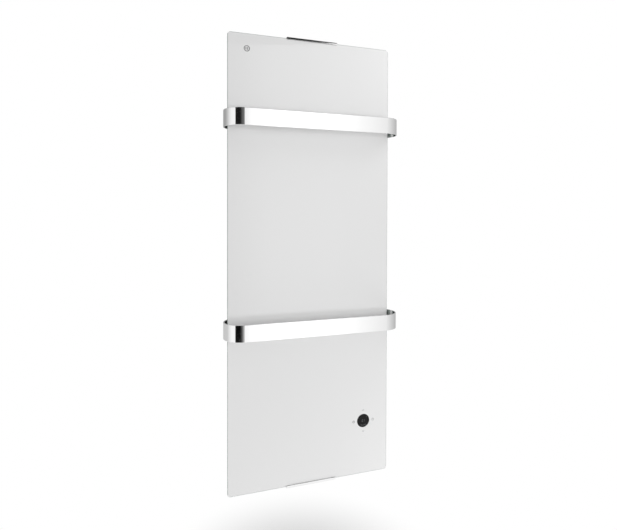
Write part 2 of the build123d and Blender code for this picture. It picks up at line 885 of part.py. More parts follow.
def sensor_holder():
    width, depth = sensor_holder_size
    z = glass_foot + sensor_above_foot
    post = block((sensor_x - width / 2, sensor_y() - depth / 2, casing_foot + casing_sheet),
                 (sensor_x + width / 2, sensor_y() + depth / 2, z + sensor_holder_top))
    post = fillet(post.edges().filter_by(Axis.X).group_by(Axis.Z)[-1], sensor_radius)
    hole = disc(sensor_radius + rod_fit, sensor_y(), z)
    return post - along_x(hole, sensor_x - width / 2, sensor_x + width / 2)


def room_sensor():
    z = glass_foot + sensor_above_foot
    probe = along_x(disc(sensor_radius, sensor_y(), z),
                    sensor_x - sensor_length / 2, sensor_x + sensor_length / 2)
    return fillet(probe.edges().sort_by(Axis.X)[0], sensor_radius * 0.6)


# Control box
def tray_outline(inset):
    middle = Pos((tray_left + tray_right) / 2, (tray_foot + tray_top) / 2)
    return middle * RectangleRounded(tray_width - 2 * inset, tray_height - 2 * inset,
                                     tray_radius - inset * 0.5)


def control_tray():
    """A plastic box with four posts for the board, screwed on from behind the casing."""
    floor = casing_inner_back - tray_wall
    tray = along_y(tray_outline(0), tray_front, casing_inner_back)
    tray -= along_y(tray_outline(tray_wall), tray_front, floor)
    for x, y, z in post_places():
        tray += along_y(disc(post_radius, x, z), floor - post_height, floor)
    pilot = small_screw["shank"] + thread_fit
    tray -= holes_y(post_places(), pilot, floor - post_height, floor - post_height + board_screw_grip)
    tray -= holes_y(post_places(), sheet_screw["shank"] + thread_fit,
                    casing_inner_back - tray_screw_grip, casing_inner_back)
    entry = disc(gland_bore_radius + tray_entry_clearance, gland_x, gland_y())
    return tray - along_z(entry, tray_foot, tray_foot + tray_wall)


def control_lid():
    return along_y(tray_outline(0), tray_front - lid_thickness, tray_front)


def board_back():
    return casing_inner_back - tray_wall - post_height


def board_front():
    return board_back() - board_thickness


def power_board():
    outline = tray_outline(tray_wall + board_clearance)
    board = along_y(outline, board_front(), board_back())
    return board - holes_y(post_places(), small_screw["shank"] + thread_fit, board_front(), board_back())


def board_place(share):
    """A place on the board, as shares of the box's width and height."""
    return tray_left + tray_width * share[0], tray_foot + tray_height * share[1]


def on_board(size, share):
    """A block of the given width, depth and height, standing on the board."""
    width, depth, height = size
    x, z = board_place(share)
    return block((x - width / 2, board_front() - depth, z - height / 2),
                 (x + width / 2, board_front(), z + height / 2))


def relay():
    body = on_board(relay_size, relay_share)
    return fillet(body.edges().filter_by(Axis.Y), component_edge_radius)


def transformer():
    """An iron core with its coil standing out of it above and below."""
    width, depth, height = transformer_size
    coil = on_board((width * 0.6, depth * 0.9, height * 1.3), transformer_share)
    return on_board(transformer_size, transformer_share) + coil


def capacitor():
    x, z = board_place(capacitor_share)
    can = along_y(disc(capacitor_radius, x, z), board_front() - capacitor_height, board_front())
    return fillet(can.edges().sort_by(Axis.Y)[0], component_edge_radius)


def terminal_block():
    """A row of screw clamps at the foot of the board, with a wire mouth under each."""
    width, depth, height = terminal_size
    x_middle, z_middle = board_place(terminal_share)
    body = on_board(terminal_size, terminal_share)
    front = board_front() - depth
    foot = z_middle - height / 2
    pitch = width / terminal_ways
    mouth_width, mouth_depth, mouth_height = terminal_mouth
    mouth = Rectangle(pitch * mouth_width, depth * mouth_depth)
    for i in range(terminal_ways):
        x = x_middle + pitch * (i + 0.5 - terminal_ways / 2)
        body -= along_z(Pos(x, front + depth / 2) * mouth, foot, foot + height * mouth_height)
        driver = disc(pitch * terminal_screw_share, x, foot + height - terminal_screw_depth)
        body -= along_y(driver, front, front + terminal_screw_depth)
    return body


def board_screws():
    places = [(x, board_front(), z) for x, y, z in post_places()]
    return placed(screw(small_screw, board_thickness + board_screw_grip), places, (0, -1, 0))


# Mains switch
def switch_y():
    return casing_back - switch_from_casing_back


def switch_z():
    return glass_foot + switch_above_foot


def switch_outline(size, margin=0.0):
    width, height = size
    return Pos(switch_y(), switch_z()) * Rectangle(width + 2 * margin, height + 2 * margin)


def switch_cutout():
    outline = switch_outline(switch_body, switch_cutout_clearance)
    return along_x(outline, casing_inner_half, casing_half)


def rocker_hinge():
    """The X of the rocker's hinge, just inside the bezel's face."""
    return casing_half + switch_bezel_thickness - rocker_hinge_inset


def switch_housing():
    """A snap-in housing: bezel outside, body inside, with a cavity for the rocker."""
    face = casing_half + switch_bezel_thickness
    bezel = along_x(switch_outline(switch_bezel), casing_half, face)
    bezel = fillet(bezel.faces().sort_by(Axis.X)[-1].edges(), switch_bezel_radius)
    housing = bezel + along_x(switch_outline(switch_body), casing_half - switch_body_depth, casing_half)
    cavity = (rocker_width + 2 * rocker_clearance, 2 * (rocker_radius + rocker_clearance))
    housing -= along_x(switch_outline(cavity), rocker_hinge() - rocker_floor, face)
    reach = rocker_width / 2 + pivot_length
    holes = Pos(rocker_hinge(), switch_y(), switch_z()) * Rot(90, 0, 0)
    housing -= holes * Cylinder(pivot_radius + pivot_fit, 2 * reach)
    length, width, thickness = switch_blade
    rear = casing_half - switch_body_depth
    for offset in both_sides(switch_blade_offset):
        blade = Pos(switch_y(), switch_z() + offset) * Rectangle(width, thickness)
        housing += along_x(blade, rear - length, rear)
    return housing


def switch_rocker():
    """A rocker with a shallow V face and round ends, shown switched off."""
    half = rocker_width / 2
    big = 4 * rocker_radius
    outline = Circle(rocker_radius)
    outline -= Pos(-rocker_underside - big / 2, 0) * Rectangle(big, big)
    for side in (-1, 1):
        face = Pos(rocker_crest, 0) * Rot(0, 0, -side * rocker_tilt)
        outline -= face * Pos(big / 2, side * big / 2) * Rectangle(big, big)
    body = extrude(Plane.XZ * outline, half, both=True)
    pivots = Rot(90, 0, 0) * Cylinder(pivot_radius, 2 * (half + pivot_length - pivot_fit))
    return Pos(rocker_hinge(), switch_y(), switch_z()) * Rot(0, rocker_tilt, 0) * (body + pivots)


# Cable gland
def gland_y():
    return casing_back - gland_from_casing_back


def gland_ring(radius, bore, start, end):
    ring = disc(radius, gland_x, gland_y()) - disc(bore, gland_x, gland_y())
    return along_z(ring, start, end)


def gland_body():
    collar_foot = casing_foot - gland_collar_height
    body = gland_ring(gland_collar_radius, gland_bore_radius, collar_foot, casing_foot)
    body += gland_ring(gland_thread_radius, gland_bore_radius, casing_foot,
                       casing_foot + gland_thread_inside)
    return body + gland_ring(gland_lower_thread_radius, gland_bore_radius,
                             collar_foot - gland_lower_thread, collar_foot)


def gland_nut():
    start = casing_foot + casing_sheet
    outline = Pos(gland_x, gland_y()) * RegularPolygon(gland_nut_flats / 2, 6, major_radius=False)
    outline -= disc(gland_thread_radius + thread_fit, gland_x, gland_y())
    return along_z(outline, start, start + gland_nut_height)


def gland_dome():
    """The dome nut that would clamp the cable, over the lower thread."""
    top = casing_foot - gland_collar_height
    foot = top - gland_dome_length
    dome = along_z(disc(gland_collar_radius, gland_x, gland_y()), foot, top)
    dome = fillet(dome.edges().group_by(Axis.Z)[0], gland_dome_radius)
    thread = gland_lower_thread_radius + thread_fit
    dome -= along_z(disc(thread, gland_x, gland_y()), top - gland_lower_thread - thread_fit, top)
    return dome - along_z(disc(gland_bore_radius, gland_x, gland_y()), foot, top)


def write(name, shape):
    """Writes one node; a list is a group of separate solids."""
    if isinstance(shape, (list, tuple)):
        shape = Compound(children=[Compound(children=piece.solids()) for piece in shape])
    export_step(shape, f"parts/{name}.step")
    print(name, "solids", len(shape.solids()), "volume", round(shape.volume))


os.makedirs("parts", exist_ok=True)

write("wall_plate", wall_plate())

write("glass_panel", glass_panel())
write("glass_bond_strips", glass_bond_strips())
write("top_glass_clip", top_clip())
write("bottom_glass_clip", flipped(top_clip()))
write("clip_liners", [top_liner(), flipped(top_liner())])
write("clip_screws", clip_screws())

write("display_lens", display_lens())
write("touch_film", touch_film())
write("display_housing", display_housing())
write("display_board", display_board())
write("display_plug", display_plug())

write("front_chassis", front_chassis())
write("rear_casing", rear_casing())
write("casing_screws", casing_screws())
write("hanger_plates", hanger_plates())
write("hanger_rivets", placed(rivet(casing_sheet + hanger_thickness), hanger_rivet_places(), (0, 1, 0)))
write("wall_bumpers", wall_bumpers())

for name, z in bar_heights.items():
    write(f"{name}_towel_bar", towel_bar(z))
    write(f"{name}_bar_rail", bar_rail(z))
write("bar_screws", bar_screws())
write("bar_nuts", bar_nuts())
write("rail_screws", rail_screws())
write("bar_grommets", bar_grommets())

for name, height in element_heights.items():
    write(f"{name}_heating_profile", heating_profile(height))
    write(f"{name}_heating_rod", heating_rod(height))
write("element_bushes", element_bushes())
write("element_tabs", element_tabs())
write("left_element_bracket", element_bracket(-1))
write("right_element_bracket", element_bracket(1))
write("bracket_screws", placed(screw(sheet_screw, bracket_screw_length), bracket_screw_places(), (0, 1, 0)))
write("heat_shield", heat_shield())
write("shield_rivets", placed(rivet(casing_sheet + shield_sheet), shield_rivet_places(), (0, 1, 0)))
write("thermal_cutout", thermal_cutout())
write("element_leads", element_leads())

write("sensor_holder", sensor_holder())
write("room_sensor", room_sensor())

write("control_tray", control_tray())
write("control_lid", control_lid())
write("power_board", power_board())
write("relay", relay())
write("transformer", transformer())
write("capacitor", capacitor())
write("terminal_block", terminal_block())
write("board_screws", board_screws())
write("tray_screws", placed(screw(sheet_screw, casing_sheet + tray_screw_grip), post_places(), (0, 1, 0)))

write("switch_housing", switch_housing())
write("switch_rocker", switch_rocker())

write("gland_body", gland_body())
write("gland_nut", gland_nut())
write("gland_dome", gland_dome())
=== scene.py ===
# %% [markdown]
# # A glass-fronted convector heater with two towel bars
#
# The heater is a white glass plate on a shallow steel casing. Two bars of polished steel loop round
# the sides of the glass, a round black display sits low on the right, and two thin clips hold the top
# and the bottom edge of the glass. The solids come ready made from the CAD model. This script gives
# every solid its finish, draws the marks on the glass and on the switch, and sets up the studio.

# %% Load the frame
import json
from math import cos, radians, sin, tau

import bmesh
import bpy
from mathutils import Matrix, Vector


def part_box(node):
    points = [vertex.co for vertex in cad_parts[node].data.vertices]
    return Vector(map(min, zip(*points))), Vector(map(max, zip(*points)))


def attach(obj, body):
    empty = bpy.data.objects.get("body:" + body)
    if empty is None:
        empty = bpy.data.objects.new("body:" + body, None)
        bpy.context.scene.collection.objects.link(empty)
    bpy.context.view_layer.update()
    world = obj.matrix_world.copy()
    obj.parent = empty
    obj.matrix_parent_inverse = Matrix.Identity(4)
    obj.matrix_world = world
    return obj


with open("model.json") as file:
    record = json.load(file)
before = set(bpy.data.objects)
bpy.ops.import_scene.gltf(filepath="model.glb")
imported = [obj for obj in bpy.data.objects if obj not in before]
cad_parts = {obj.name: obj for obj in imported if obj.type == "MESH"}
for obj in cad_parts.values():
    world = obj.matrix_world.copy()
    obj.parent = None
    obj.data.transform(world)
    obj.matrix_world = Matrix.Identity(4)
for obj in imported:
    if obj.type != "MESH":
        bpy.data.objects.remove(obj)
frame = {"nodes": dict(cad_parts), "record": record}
bpy.context.scene.view_settings.view_transform = "Standard"
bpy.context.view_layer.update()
MM = 0.001

# %% [markdown]
# ## Measures taken from the solids
#
# The floor, the cards, the lamps' aim and the marks on the glass are placed from the boxes of the solids,
# so that they keep their places if a size changes in the CAD model. The camera, the lamps' own places and
# the switch's hinge are given as numbers.

# %% Boxes of the main pieces
glass_low, glass_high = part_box("glass_panel")
lens_low, lens_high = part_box("display_lens")
glass_front = glass_low.y
glass_middle = (glass_low + glass_high) / 2
lens_middle = (lens_low + lens_high) / 2
print("glass:", glass_high - glass_low, "| lens:", lens_high - lens_low)

# %% [markdown]
# ## The camera
#
# The picture was taken from the left and a little above the middle. A place, a direction and a lens
# were fitted to the edges of the glass and of the bars. The lens is shifted down, as an architect's
# camera is, so that upright edges stay upright although the picture's middle is below the camera.

# %% Camera
eye = Vector((-0.3463, -1.0916, -0.0862))
yaw, pitch, roll = radians(18.41), radians(-0.77), radians(0.137)
lens_mm, sensor_mm, shift_down = 27.71, 36.0, -0.0741

forward = Vector((sin(yaw) * cos(pitch), cos(yaw) * cos(pitch), sin(pitch)))
level_right = Vector((cos(yaw), -sin(yaw), 0))
level_up = level_right.cross(forward)
right = level_right * cos(roll) + level_up * sin(roll)
up = level_up * cos(roll) - level_right * sin(roll)

camera = bpy.data.objects.new("camera", bpy.data.cameras.new("camera"))
camera.matrix_world = Matrix.Translation(eye) @ Matrix((right, up, -forward)).transposed().to_4x4()
camera.data.lens, camera.data.sensor_width, camera.data.shift_y = lens_mm, sensor_mm, shift_down
camera.data.clip_start = 0.05
bpy.context.scene.collection.objects.link(camera)
bpy.context.scene.camera = camera
print("camera at", eye, "looking along", forward)

# %% [markdown]
# ## Two helpers for materials
#
# Paint charts and web pages give colours as sRGB hex codes, but shaders calculate with light, which is
# linear. One function turns the code into linear numbers. The other adds a node, sets its properties
# and fills its inputs, with a number, a colour or a link from another node.

# %% Material helpers
def linear(code):
    """The linear red, green, blue and alpha of an sRGB hex code."""
    shares = [int(code[i:i + 2], 16) / 255 for i in (1, 3, 5)]
    return [*(s / 12.92 if s <= 0.04045 else ((s + 0.055) / 1.055) ** 2.4 for s in shares), 1.0]


def add(tree, kind, inputs=None, **settings):
    """A new node in the tree, with its settings and its inputs filled or linked."""
    node = tree.nodes.new("ShaderNode" + kind)
    for name, value in settings.items():
        setattr(node, name, value)
    for name, value in (inputs or {}).items():
        if isinstance(value, bpy.types.NodeSocket):
            tree.links.new(value, node.inputs[name])
        else:
            node.inputs[name].default_value = value
    return node


def new_material(name, **inputs):
    """A material with a Principled shader: (material, node tree, shader)."""
    material = bpy.data.materials.new(name)
    material.use_nodes = True
    shader = material.node_tree.nodes["Principled BSDF"]
    for key, value in inputs.items():
        shader.inputs[key.replace("_", " ")].default_value = value
    return material, material.node_tree, shader


finishes = {}
print("helpers ready")

# %% [markdown]
# ## White studio
#
# The heater was shown on plain white. The world and the floor are pure white where the camera,
# a reflection or a view through glass meets them, and weaker where they light the heater, so that
# white pieces keep their shape. The floor is a sheet a hand's breadth under the heater. It is plain
# matt paper right under the heater, where it takes the soft shadow, and fades to pure white around it,
# so that no horizon shows.

# %% World and floor
ambient = 0.59
floor_drop, floor_size = 0.30, 12.0
shadow_radius = 0.42


def seen_or_lighting(tree, seen, lighting):
    """A strength for light that is looked at, and another for light that falls on the heater."""
    path = add(tree, "LightPath")
    direct = add(tree, "Math", {0: path.outputs["Is Camera Ray"], 1: path.outputs["Is Glossy Ray"]},
                 operation="MAXIMUM")
    any_view = add(tree, "Math", {0: direct.outputs[0], 1: path.outputs["Is Transmission Ray"]},
                   operation="MAXIMUM")
    mixed = add(tree, "MapRange", {"Value": any_view.outputs[0], "To Min": lighting, "To Max": seen})
    return mixed.outputs[0]


world = bpy.data.worlds.new("white studio")
bpy.context.scene.world = world
world.use_nodes = True
sky = world.node_tree.nodes["Background"]
sky.inputs["Color"].default_value = linear("#FFFFFF")
world.node_tree.links.new(seen_or_lighting(world.node_tree, 1.0, ambient), sky.inputs["Strength"])


def link_mesh(name, bm, material):
    """A bmesh as a new object in the scene."""
    mesh = bpy.data.meshes.new(name)
    bm.to_mesh(mesh)
    bm.free()
    mesh.materials.append(material)
    made = bpy.data.objects.new(name, mesh)
    bpy.context.scene.collection.objects.link(made)
    return made


def stage_sheet(name, size_x, size_y, place, material):
    """A flat level sheet of the studio, which isn't part of the heater."""
    bm = bmesh.new()
    bmesh.ops.create_grid(bm, x_segments=1, y_segments=1, size=0.5)
    bmesh.ops.scale(bm, vec=(size_x, size_y, 1), verts=bm.verts)
    made = link_mesh(name, bm, material)
    made.location = place
    return made


paper, tree, shader = new_material("matt_white_studio_paper", Roughness=0.9)
shader.inputs["Base Color"].default_value = linear("#F8F8F8")
place = add(tree, "TexCoord")
spread = add(tree, "Mapping", {"Vector": place.outputs["Object"], "Scale": [1 / shadow_radius] * 3})
near = add(tree, "TexGradient", {"Vector": spread.outputs[0]}, gradient_type="SPHERICAL")
far = add(tree, "MapRange", {"Value": near.outputs["Fac"], "From Max": 0.8, "To Min": 1.0, "To Max": 0.0},
          interpolation_type="SMOOTHSTEP")
glow = add(tree, "Emission", {"Color": linear("#FFFFFF"), "Strength": seen_or_lighting(tree, 1.0, ambient)})
faded = add(tree, "MixShader", {0: far.outputs[0], 1: shader.outputs[0], 2: glow.outputs[0]})
tree.links.new(faded.outputs[0], tree.nodes["Material Output"].inputs["Surface"])
floor = stage_sheet("floor", floor_size, floor_size, (0, 0, glass_low.z - floor_drop), paper)
print("floor at z =", round(floor.location.z, 3))

# %% [markdown]
# ## Soft boxes
#
# Three soft boxes stand in front of the heater. The high and the low one throw the bars' shadows straight
# back on to the glass, and from the camera's height one sees them as a grey band just under the upper bar
# and just over the lower one. The large one fills these bands, so that they stay light. Two weak lamps
# close to the glass brighten its right-hand corners, and a very weak one its foot.

# %% Lamps
def soft_box(name, place, target, size, watts):
    """A square area lamp, aimed at a target, that reflections don't show."""
    lamp = bpy.data.objects.new(name, bpy.data.lights.new(name, "AREA"))
    lamp.data.size, lamp.data.energy = size, watts
    turn = (Vector(target) - Vector(place)).to_track_quat("-Z", "Y").to_matrix().to_4x4()
    lamp.matrix_world = Matrix.Translation(place) @ turn
    lamp.visible_glossy = False
    bpy.context.scene.collection.objects.link(lamp)
    return lamp


lamp_distance = 2.6
boxes = {
    "high_box": ((0.35, -lamp_distance, 0.14), (0, glass_front, 0.14), 0.16, 3.5),
    "low_box": ((0.35, -lamp_distance, -0.62), (0, glass_front, -0.62), 0.16, 8.0),
    "upper_corner_box": ((0.42, -0.35, 0.40), (0.18, glass_front, 0.28), 0.3, 0.48),
    "lower_corner_box": ((0.42, -0.35, -0.80), (0.18, glass_front, -0.68), 0.3, 0.36),
    "foot_box": ((-0.12, -0.20, -0.80), (-0.15, glass_front, -0.69), 0.2, 0.015),
    "fill_box": ((0.30, -lamp_distance, -0.10), (0, glass_front, -0.20), 0.4, 9.0),
}
for name, settings in boxes.items():
    soft_box(name, *settings)

# %% [markdown]
# ## Cards for the reflections
#
# A mirror shows what stands round it, so polished steel is photographed inside a ring of cards. The
# camera doesn't see them and they don't light the heater. Each ring has its tones set by azimuth,
# counted from straight in front of the heater towards its right. At the heights that the bars mirror,
# a black flag on the left gives each bend its stripe. The cards above the heater are nearly black, and
# the upper clip mirrors them as a dark line along the top of the glass.

# %% Rings and ceiling
ring_radius, ring_steps = 2.3, 96
ring_middle = Vector((glass_low.x, glass_front, 0))
front_right = {16: 1.3, 27: 1.25, 30: 1.06, 33: 0.97, 35: 0.88, 45: 0.80, 70: 0.66, 95: 0.55}
room = {-180: 0.38, -130: 0.40, -105: 0.62, -85: 0.90, -70: 1.0, -50: 0.97, -30: 0.55, -5: 0.45, 8: 0.30,
        **front_right, 180: 0.38}
upper_flagged = {-180: 0.37, -130: 0.38, -108: 0.56, -91: 0.79, -75: 0.94, -49: 0.98, -46: 0.01, -16: 0.01,
                 3: 0.16, 9: 0.45, 12: 1.1, **front_right, 180: 0.38}
lower_flagged = {-180: 0.58, -108: 0.62, -91: 0.82, -83: 0.90, -70: 1.0, -49: 0.98, -46: 0.003, -16: 0.003,
                 -3: 0.10, 3: 0.38, 9: 0.67, 12: 1.1, **front_right, 180: 0.38}


def ring(name, low, high, tones):
    """An upright band round the heater between two heights, with a tone for each azimuth."""
    card, tree, shader = new_material(name + "_card")
    place = add(tree, "TexCoord")
    turn = add(tree, "TexGradient", {"Vector": place.outputs["Object"]}, gradient_type="RADIAL")
    ramp = add(tree, "ValToRGB", {"Fac": turn.outputs["Fac"]})
    stops = ramp.color_ramp.elements
    for i, azimuth in enumerate(tones):
        stop = stops[i] if i < 2 else stops.new(1.0)
        stop.position = azimuth / 360 + 0.5
    for stop, tone in zip(stops, tones.values()):
        stop.color = (tone, tone, tone, 1)
    glow = add(tree, "Emission", {"Color": ramp.outputs["Color"]})
    tree.links.new(glow.outputs[0], tree.nodes["Material Output"].inputs["Surface"])

    bm = bmesh.new()
    ends = [bm.verts.new((ring_radius, 0, z)) for z in (low, high)]
    bmesh.ops.spin(bm, geom=[*ends, bm.edges.new(ends)], cent=(0, 0, 0), axis=(0, 0, 1), dvec=(0, 0, 0),
                   angle=tau, steps=ring_steps, use_merge=True, use_duplicate=False)
    made = link_mesh(name, bm, card)
    made.matrix_world = Matrix.Translation(ring_middle) @ Matrix.Rotation(radians(-90), 4, "Z")
    hide_from_view(made)
    return made


def hide_from_view(card):
    """Only reflections see the card."""
    card.visible_camera = card.visible_diffuse = card.visible_shadow = False
    card.visible_transmission = False


low_flag_top, high_flag_foot, high_flag_top = -0.74, 0.40, 0.68
dark_foot, ceiling_height = 1.08, 1.60
ring("low_flag_ring", floor.location.z, low_flag_top, lower_flagged)
ring("middle_ring", low_flag_top, high_flag_foot, room)
ring("high_flag_ring", high_flag_foot, high_flag_top, upper_flagged)
ring("upper_ring", high_flag_top, dark_foot, room)
ring("dark_ring", dark_foot, ceiling_height, {-180: 0.02, 180: 0.02})

dark, tree, shader = new_material("dark_ceiling_card")
glow = add(tree, "Emission", {"Color": linear("#101010")})
tree.links.new(glow.outputs[0], tree.nodes["Material Output"].inputs["Surface"])
ceiling_place = ring_middle + Vector((0, 0, ceiling_height))
hide_from_view(stage_sheet("ceiling", 2 * ring_radius, 2 * ring_radius, ceiling_place, dark))

# %% [markdown]
# ## Finish: white glass, printed on its back
#
# The front is float glass with white enamel baked on its back, so the surface is a mirror-smooth coat
# over an even white. A thin greenish grey line is painted round the edge: partly the glass's own green
# tint, partly painted shade where one looks into the thick edge.

# %% Glass
rim_width = 1.2 * MM
half_width, half_height = (glass_high.x - glass_low.x) / 2, (glass_high.z - glass_low.z) / 2

glass, tree, shader = new_material("back_enamelled_float_glass", Roughness=0.02, IOR=1.52)
place = add(tree, "TexCoord")
centred = add(tree, "Mapping", {"Vector": place.outputs["Object"],
                                "Location": (-glass_middle.x, 0, -glass_middle.z)})
parts = add(tree, "SeparateXYZ", {"Vector": centred.outputs[0]})
from_side = add(tree, "Math", {0: parts.outputs["X"]}, operation="ABSOLUTE")
from_side = add(tree, "Math", {0: half_width, 1: from_side.outputs[0]}, operation="SUBTRACT")
from_end = add(tree, "Math", {0: parts.outputs["Z"]}, operation="ABSOLUTE")
from_end = add(tree, "Math", {0: half_height, 1: from_end.outputs[0]}, operation="SUBTRACT")
from_rim = add(tree, "Math", {0: from_side.outputs[0], 1: from_end.outputs[0]}, operation="MINIMUM")
# Painted shade: within the rim width the white turns a darker greenish grey, partly the glass's own tint.
clear_of_rim_shade = add(tree, "MapRange", {"Value": from_rim.outputs[0], "From Min": rim_width * 0.6,
                                "From Max": rim_width})
colour = add(tree, "MixRGB", {"Fac": clear_of_rim_shade.outputs[0], "Color1": linear("#A4AEAA"),
                              "Color2": linear("#E6E6E6")})
tree.links.new(colour.outputs[0], shader.inputs["Base Color"])
finishes["back_printed_glass"] = glass
print("glass ready")

# %% [markdown]
# ## Finish: polished steel
#
# The bars and clips are stainless steel polished to a mirror. A very fine polishing grain along the
# strip keeps the reflections from looking like computer chrome.

# %% Polished steel
steel, tree, shader = new_material("mirror_polished_stainless_steel", Metallic=1.0)
shader.inputs["Base Color"].default_value = linear("#F7F7F7")
place = add(tree, "TexCoord")
grain = add(tree, "Mapping", {"Vector": place.outputs["Object"], "Scale": (4, 900, 900)})
noise = add(tree, "TexNoise", {"Vector": grain.outputs[0], "Scale": 1.0, "Detail": 2.0})
rough = add(tree, "MapRange", {"Value": noise.outputs["Fac"], "To Min": 0.03, "To Max": 0.06})
tree.links.new(rough.outputs[0], shader.inputs["Roughness"])
finishes["polished_steel"] = steel
print("polished steel ready")

# %% [markdown]
# ## Finish: powder-coated sheet steel
#
# The casing is sprayed with white powder that melts in an oven to a skin with a fine orange peel, a
# little bump about a millimetre across.

# %% Powder coat
powder, tree, shader = new_material("fine_white_powder_coat", Roughness=0.42)
shader.inputs["Base Color"].default_value = linear("#E4E4E2")
place = add(tree, "TexCoord")
peel = add(tree, "TexNoise", {"Vector": place.outputs["Object"], "Scale": 1 / (1.2 * MM), "Detail": 2.0})
bump = add(tree, "Bump", {"Height": peel.outputs["Fac"], "Strength": 0.12, "Distance": 0.1 * MM})
tree.links.new(bump.outputs[0], shader.inputs["Normal"])
finishes["white_powder_coat"] = powder
print("powder coat ready")

# %% [markdown]
# ## Finish: zinc
#
# Galvanised sheet shows spangle, flat crystals of zinc about a centimetre across, each a slightly
# different grey. The small screws and rivets are plated with bright zinc, which is smoother and
# a little blue.

# %% Zinc
galvanised, tree, shader = new_material("galvanised_sheet_steel", Metallic=0.9)
place = add(tree, "TexCoord")
spangle = add(tree, "TexVoronoi", {"Vector": place.outputs["Object"], "Scale": 1 / (9 * MM)})
grey = add(tree, "MapRange", {"Value": spangle.outputs["Color"], "To Min": 0.0, "To Max": 1.0})
colour = add(tree, "MixRGB", {"Fac": grey.outputs[0], "Color1": linear("#A9ADAF"),
                              "Color2": linear("#C6CACC")})
rough = add(tree, "MapRange", {"Value": grey.outputs[0], "To Min": 0.32, "To Max": 0.5})
tree.links.new(colour.outputs[0], shader.inputs["Base Color"])
tree.links.new(rough.outputs[0], shader.inputs["Roughness"])
finishes["galvanised_steel"] = galvanised

zinc, tree, shader = new_material("bright_zinc_plating", Metallic=1.0)
place = add(tree, "TexCoord")
cloud = add(tree, "TexNoise", {"Vector": place.outputs["Object"], "Scale": 1 / (2 * MM)})
colour = add(tree, "MixRGB", {"Fac": cloud.outputs["Fac"], "Color1": linear("#BFC4CA"),
                              "Color2": linear("#D6DADD")})
rough = add(tree, "MapRange", {"Value": cloud.outputs["Fac"], "To Min": 0.22, "To Max": 0.38})
tree.links.new(colour.outputs[0], shader.inputs["Base Color"])
tree.links.new(rough.outputs[0], shader.inputs["Roughness"])
finishes["zinc_plated_steel"] = zinc
print("zinc ready")

# %% [markdown]
# ## Finish: the other materials
#
# Plastics, rubbers, the display's smoked lens, and the pieces inside. Each has one plain colour with a
# fine bump or a soft cloud of its own, because no moulded or sintered surface is perfectly even. The lens
# has an anti-reflection coat, so it mirrors less than bare acrylic, as if its index were lower.

# %% Moulded and sintered materials
def moulded(name, light, dark, roughness, grain, bump_height, **inputs):
    """A dull material whose colour clouds between two tones, with a bump of a real grain size."""
    material, tree, shader = new_material(name, Roughness=roughness, **inputs)
    place = add(tree, "TexCoord")
    cloud = add(tree, "TexNoise", {"Vector": place.outputs["Object"], "Scale": 1 / (12 * grain)})
    colour = add(tree, "MixRGB", {"Fac": cloud.outputs["Fac"], "Color1": linear(dark),
                                  "Color2": linear(light)})
    fine = add(tree, "TexNoise", {"Vector": place.outputs["Object"], "Scale": 1 / grain})
    bump = add(tree, "Bump", {"Height": fine.outputs["Fac"], "Strength": 0.3, "Distance": bump_height})
    tree.links.new(colour.outputs[0], shader.inputs["Base Color"])
    tree.links.new(bump.outputs[0], shader.inputs["Normal"])
    return material


finishes["black_lens"] = moulded("smoked_acrylic_lens", "#060607", "#040405", 0.05, 1 * MM, 0.002 * MM,
                                  IOR=1.33)
finishes["black_polyamide"] = moulded("black_polyamide", "#2B2B2C", "#262627", 0.45, 0.5 * MM, 0.02 * MM)
finishes["grey_polyamide"] = moulded("grey_polyamide", "#ADAFB0", "#A6A8A9", 0.5, 0.5 * MM, 0.02 * MM)
finishes["white_polyamide"] = moulded("white_polyamide", "#ECEBE7", "#E6E5E0", 0.45, 0.5 * MM, 0.02 * MM)
finishes["silicone_rubber"] = moulded("translucent_silicone", "#DEDEDA", "#D6D6D2", 0.4, 0.8 * MM,
                                      0.03 * MM)
finishes["black_rubber"] = moulded("black_rubber", "#303030", "#2A2A2A", 0.75, 0.6 * MM, 0.05 * MM)
finishes["steatite"] = moulded("white_steatite", "#EDE9DF", "#E5E0D4", 0.6, 0.3 * MM, 0.02 * MM)
finishes["board_laminate"] = moulded("green_board_laminate", "#2F6B45", "#28603C", 0.35, 0.8 * MM,
                                     0.02 * MM)
finishes["capacitor_sleeve"] = moulded("capacitor_sleeve", "#26336B", "#212D60", 0.35, 0.5 * MM,
                                       0.01 * MM)
finishes["lead_sleeve"] = moulded("silicone_lead_sleeve", "#E8E6E0", "#DDDAD2", 0.55, 0.5 * MM,
                                  0.02 * MM)
print("moulded:", len(finishes))

# %% Bare metals inside
def drawn_metal(name, light, dark, roughness, spacing):
    """A metal with fine die lines along X, the way extruded and drawn pieces have them."""
    material, tree, shader = new_material(name, Metallic=1.0)
    place = add(tree, "TexCoord")
    lines = add(tree, "Mapping", {"Vector": place.outputs["Object"], "Scale": (5, 1 / spacing, 1 / spacing)})
    noise = add(tree, "TexNoise", {"Vector": lines.outputs[0], "Scale": 1.0, "Detail": 3.0})
    colour = add(tree, "MixRGB", {"Fac": noise.outputs["Fac"], "Color1": linear(dark),
                                  "Color2": linear(light)})
    rough = add(tree, "MapRange", {"Value": noise.outputs["Fac"], "To Min": roughness - 0.05,
                                   "To Max": roughness + 0.08})
    tree.links.new(colour.outputs[0], shader.inputs["Base Color"])
    tree.links.new(rough.outputs[0], shader.inputs["Roughness"])
    return material


finishes["extruded_aluminium"] = drawn_metal("extruded_aluminium", "#D9DBDC", "#CBCED0", 0.33, 0.4 * MM)
finishes["steel_sheath"] = drawn_metal("annealed_steel_sheath", "#8E8B86", "#7C7975", 0.4, 0.4 * MM)

for part in frame["record"]["subparts"]:
    slots = frame["nodes"][part["node"]].data.materials
    slots.clear()
    slots.append(finishes[part["material_slot"]])

# %% [markdown]
# ## Marks on the glass
#
# The marks are printed on the glass: a round black sign with two upright strokes at the top left, and
# four small signs round the display. They are thin flat pieces, a twentieth of
# a millimetre thick, made as flat meshes of rings and strokes before they are placed.

# %% Flat marks
ink_thickness = 0.05 * MM
facing_front = Matrix.Rotation(radians(90), 4, "X")


